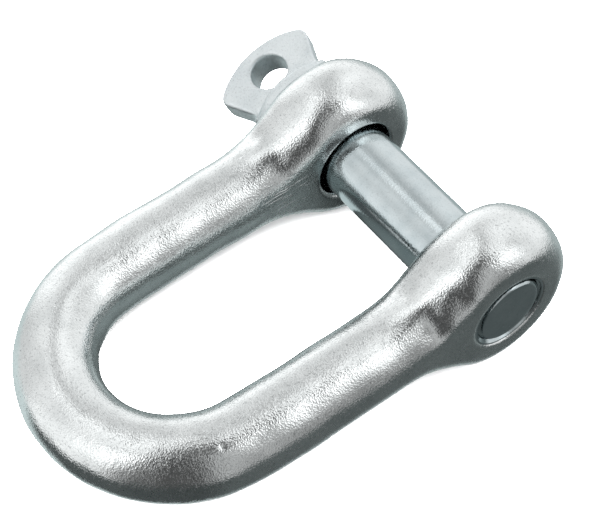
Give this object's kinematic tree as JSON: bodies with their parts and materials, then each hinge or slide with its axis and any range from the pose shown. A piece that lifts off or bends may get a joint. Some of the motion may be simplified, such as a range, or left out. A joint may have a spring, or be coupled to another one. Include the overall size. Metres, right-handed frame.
{
  "type": "dee shackle",
  "caption": "Forged dee shackle: U-shaped bow with an ear on each leg, closed by a screw pin with a flat eyed head.",
  "frame": {"origin": "on the screw pin's axis, midway between the ears", "axes": "+X along the pin from its head to its screwed tip, +Y from the crown to the pin, +Z square to the plane of the bow"},
  "size_m": [0.1052, 0.1304, 0.043],
  "materials": {
    "plated_forging": "bright zinc plating over a drop forging, slightly grainy",
    "plated_pin": "bright zinc plating over a turned and forged pin, satin"
  },
  "bodies": {
    "bow": {"shackle_body": "plated_forging"},
    "collar": {"pin_collar": "plated_pin"},
    "pin": {"screw_pin": "plated_pin"}
  },
  "joints": [
    {"name": "pin_travel", "type": "slide", "parent": "bow", "child": "collar", "axis": [-1, 0, 0], "range_m": [0, 0.085]},
    {"name": "pin_turn", "type": "hinge", "parent": "collar", "child": "pin", "pos_m": [0, 0, 0], "axis": [-1, 0, 0], "range_deg": [0, 12240]}
  ],
  "couplings": [
    {"joint": "pin_turn", "follows": "pin_travel", "rad_per_m": 2513.3}
  ]
}
